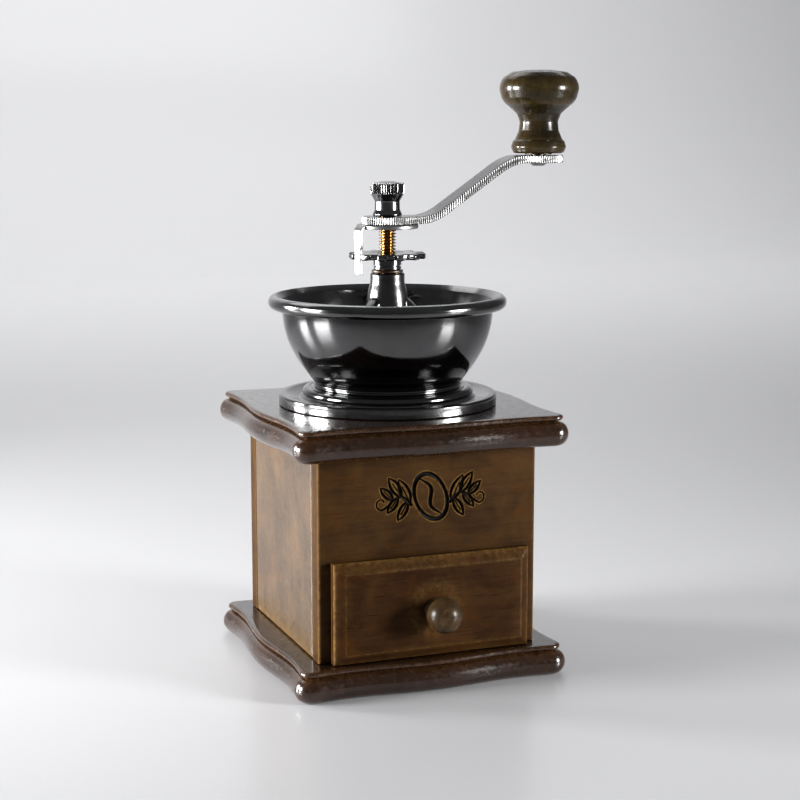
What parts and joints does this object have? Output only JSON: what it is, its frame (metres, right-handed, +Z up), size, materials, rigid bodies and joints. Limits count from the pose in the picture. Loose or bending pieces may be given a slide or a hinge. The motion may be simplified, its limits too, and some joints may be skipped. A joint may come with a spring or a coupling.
{
  "type": "hand-cranked box coffee mill",
  "caption": "Wooden box coffee mill with a metal hopper bowl, conical burrs, a cranked handle with a turned knob, and a drawer for the grounds.",
  "frame": {"origin": "centre of the flat underside of the base plate, on the crank's axis", "axes": "+Z up along the crank spindle, -Y the way the drawer opens, +X along the crank arm at rest"},
  "size_m": [0.1244, 0.1116, 0.2109],
  "materials": {
    "dark_wood": "dark red-brown stain under satin lacquer",
    "body_wood": "olive-brown stain under satin lacquer",
    "drawer_wood": "olive-brown stain under satin lacquer, edges rubbed lighter",
    "raw_wood": "bare sanded wood",
    "knob_wood": "dark stain under gloss lacquer",
    "black_nickel": "mirror gunmetal plating",
    "dark_chrome": "polished dark chrome plating",
    "zinc_steel": "bright zinc plating",
    "cast_iron": "plated casting, dull",
    "burr_steel": "ground hardened steel",
    "brass": "yellow brass, threaded or turned"
  },
  "bodies": {
    "case": {"bottom_plate": "dark_wood", "top_plate": "dark_wood", "front_panel": "body_wood", "back_panel": "body_wood", "left_panel": "body_wood", "right_panel": "body_wood", "base_screw_1": "zinc_steel", "base_screw_2": "zinc_steel", "base_screw_3": "zinc_steel", "base_screw_4": "zinc_steel", "hopper_bowl": "black_nickel", "bearing_bridge": "cast_iron", "shaft_bush": "brass", "bridge_bolt_1": "zinc_steel", "bridge_bolt_2": "zinc_steel", "bridge_bolt_3": "zinc_steel", "bridge_nut_1": "zinc_steel", "bridge_nut_2": "zinc_steel", "bridge_nut_3": "zinc_steel", "outer_burr": "burr_steel"},
    "adjuster": {"adjusting_nut": "dark_chrome", "thrust_washer": "brass", "burr_spring": "zinc_steel"},
    "spindle": {"spindle_shaft": "brass", "inner_burr": "burr_steel", "burr_washer": "zinc_steel", "burr_nut": "zinc_steel", "lock_clip": "zinc_steel", "crank_arm": "dark_chrome", "cap_nut": "dark_chrome", "knob_pin": "zinc_steel"},
    "crank_handle": {"crank_knob": "knob_wood", "knob_sleeve": "brass"},
    "drawer": {"drawer_front": "drawer_wood", "drawer_left": "raw_wood", "drawer_right": "raw_wood", "drawer_back": "raw_wood", "drawer_bottom": "raw_wood", "drawer_knob": "knob_wood", "drawer_knob_screw": "zinc_steel"}
  },
  "joints": [
    {"name": "crank_turn", "type": "hinge", "parent": "case", "child": "adjuster", "pos_m": [0, 0, 0.1395], "axis": [0, 0, 1], "continuous": true},
    {"name": "grind_setting", "type": "slide", "parent": "adjuster", "child": "spindle", "axis": [0, 0, 1], "range_m": [-0.001, 0.0008], "deforming": ["burr_spring"]},
    {"name": "knob_spin", "type": "hinge", "parent": "spindle", "child": "crank_handle", "pos_m": [0.0588, 0, 0.181], "axis": [0, 0, 1], "continuous": true},
    {"name": "drawer_slide", "type": "slide", "parent": "case", "child": "drawer", "axis": [0, -1, 0], "range_m": [0, 0.06]}
  ]
}
